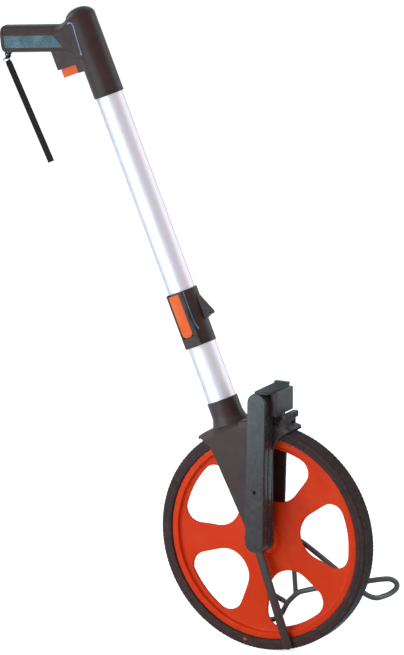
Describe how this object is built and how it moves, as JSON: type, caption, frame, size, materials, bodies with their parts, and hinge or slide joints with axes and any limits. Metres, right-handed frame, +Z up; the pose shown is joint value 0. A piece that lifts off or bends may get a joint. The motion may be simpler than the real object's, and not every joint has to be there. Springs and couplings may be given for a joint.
{
  "type": "measuring wheel",
  "caption": "Hand-pushed distance measuring wheel: spoked wheel in a fork, belt-driven counter, clamped telescopic tube, pistol grip with trigger and strap, and a fold-down wire stand.",
  "frame": {"origin": "middle of the underside of the overall box, at the height of the tyre's contact with the ground", "axes": "+Z up, +X the way the wheel is pushed, +Y along the axle towards the stand's side; the tube leans back towards -X"},
  "size_m": [0.5772, 0.1284, 0.8788],
  "materials": {
    "orange_plastic": "smooth vivid orange-red moulding",
    "orange_light": "satin orange",
    "black_plastic": "satin charcoal moulding",
    "grey_plastic": "textured dark grey",
    "tyre": "matt black tread",
    "rubber": "matt black",
    "anodised_tube": "satin anodised",
    "steel": "zinc plated",
    "stand_steel": "plated wire",
    "clear_plastic": "clear",
    "white_plastic": "off-white",
    "webbing": "flat black tape"
  },
  "bodies": {
    "frame": {"fork": "black_plastic", "lower_tube": "anodised_tube", "clamp_sleeve": "black_plastic", "clamp_pad": "rubber", "clamp_pin": "steel", "neck_screw": "steel", "casing_cover": "black_plastic", "casing_shell": "black_plastic", "casing_screw": "steel", "leg_screw_1": "steel", "leg_screw_2": "steel", "drive_belt": "rubber", "axle": "steel", "axle_nut": "steel", "stand_nut": "steel", "thrust_washer": "steel", "pointer_arm": "black_plastic", "counter_housing": "black_plastic", "counter_side_cover": "black_plastic", "counter_window": "clear_plastic", "visor": "black_plastic", "carry_shaft": "steel", "carry_pinions": "white_plastic", "counter_screw_1": "steel", "counter_screw_2": "steel", "reset_pin": "steel"},
    "wheel": {"wheel_disc": "orange_plastic", "tyre": "tyre", "near_bearing": "steel", "far_bearing": "steel", "drive_sleeve": "grey_plastic", "lower_pulley": "white_plastic"},
    "counter_drive": {"counter_shaft": "steel", "upper_pulley": "white_plastic", "digit_wheel_1": "white_plastic"},
    "digit_2": {"digit_wheel_2": "white_plastic"},
    "digit_3": {"digit_wheel_3": "white_plastic"},
    "digit_4": {"digit_wheel_4": "white_plastic"},
    "digit_5": {"digit_wheel_5": "white_plastic"},
    "reset": {"reset_lever": "black_plastic"},
    "handle": {"upper_tube": "anodised_tube", "tube_plug": "grey_plastic", "handle_shell_near": "black_plastic", "handle_shell_far": "black_plastic", "grip_panel_near": "grey_plastic", "grip_panel_far": "grey_plastic", "grip_end_cap": "black_plastic", "handle_screw_1": "steel", "handle_screw_2": "steel", "handle_screw_3": "steel", "trigger_spring": "steel", "strap_pin": "steel"},
    "trigger": {"trigger": "orange_light"},
    "lever": {"clamp_lever": "orange_light"},
    "stand": {"stand": "stand_steel"},
    "strap": {"strap": "webbing", "strap_ring": "steel"}
  },
  "joints": [
    {"name": "wheel_spin", "type": "hinge", "parent": "frame", "child": "wheel", "pos_m": [0.1259, -0.02019, 0.15915], "axis": [0, 1, 0], "continuous": true},
    {"name": "counter_shaft_spin", "type": "hinge", "parent": "frame", "child": "counter_drive", "pos_m": [0.1299, -0.02019, 0.35766], "axis": [0, 1, 0], "continuous": true},
    {"name": "digit_2_spin", "type": "hinge", "parent": "frame", "child": "digit_2", "pos_m": [0.1299, -0.02019, 0.35766], "axis": [0, 1, 0], "continuous": true},
    {"name": "digit_3_spin", "type": "hinge", "parent": "frame", "child": "digit_3", "pos_m": [0.1299, -0.02019, 0.35766], "axis": [0, 1, 0], "continuous": true},
    {"name": "digit_4_spin", "type": "hinge", "parent": "frame", "child": "digit_4", "pos_m": [0.1299, -0.02019, 0.35766], "axis": [0, 1, 0], "continuous": true},
    {"name": "digit_5_spin", "type": "hinge", "parent": "frame", "child": "digit_5", "pos_m": [0.1299, -0.02019, 0.35766], "axis": [0, 1, 0], "continuous": true},
    {"name": "reset_press", "type": "hinge", "parent": "frame", "child": "reset", "pos_m": [0.1564, -0.02019, 0.32915], "axis": [0, 1, 0], "range_deg": [0, 18], "stiffness_Nm_per_rad": 0.12, "springref_deg": -11.46},
    {"name": "handle_slide", "type": "slide", "parent": "frame", "child": "handle", "axis": [-0.3939, 0, 0.9191], "range_m": [-0.095, 0.02]},
    {"name": "trigger_pull", "type": "slide", "parent": "handle", "child": "trigger", "axis": [-0.3939, 0, 0.9191], "range_m": [0, 0.008], "stiffness_N_per_m": 350, "springref_m": -0.004, "deforming": ["trigger_spring"]},
    {"name": "clamp_lever_swing", "type": "hinge", "parent": "frame", "child": "lever", "pos_m": [-0.00683, -0.04499, 0.48912], "axis": [-0.9191, 0, -0.3939], "range_deg": [0, 100]},
    {"name": "stand_swing", "type": "hinge", "parent": "frame", "child": "stand", "pos_m": [0.1259, 0.01101, 0.15915], "axis": [0, 1, 0], "range_deg": [0, 37]},
    {"name": "strap_swing", "type": "hinge", "parent": "handle", "child": "strap", "pos_m": [-0.28112, -0.02019, 0.79876], "axis": [0, 1, 0], "range_deg": [-28, 50]}
  ],
  "couplings": [
    {"joint": "counter_shaft_spin", "follows": "wheel_spin", "ratio": 1},
    {"joint": "digit_2_spin", "follows": "wheel_spin", "ratio": 0.1},
    {"joint": "digit_3_spin", "follows": "wheel_spin", "ratio": 0.01},
    {"joint": "digit_4_spin", "follows": "wheel_spin", "ratio": 0.001},
    {"joint": "digit_5_spin", "follows": "wheel_spin", "ratio": 0.0001}
  ]
}
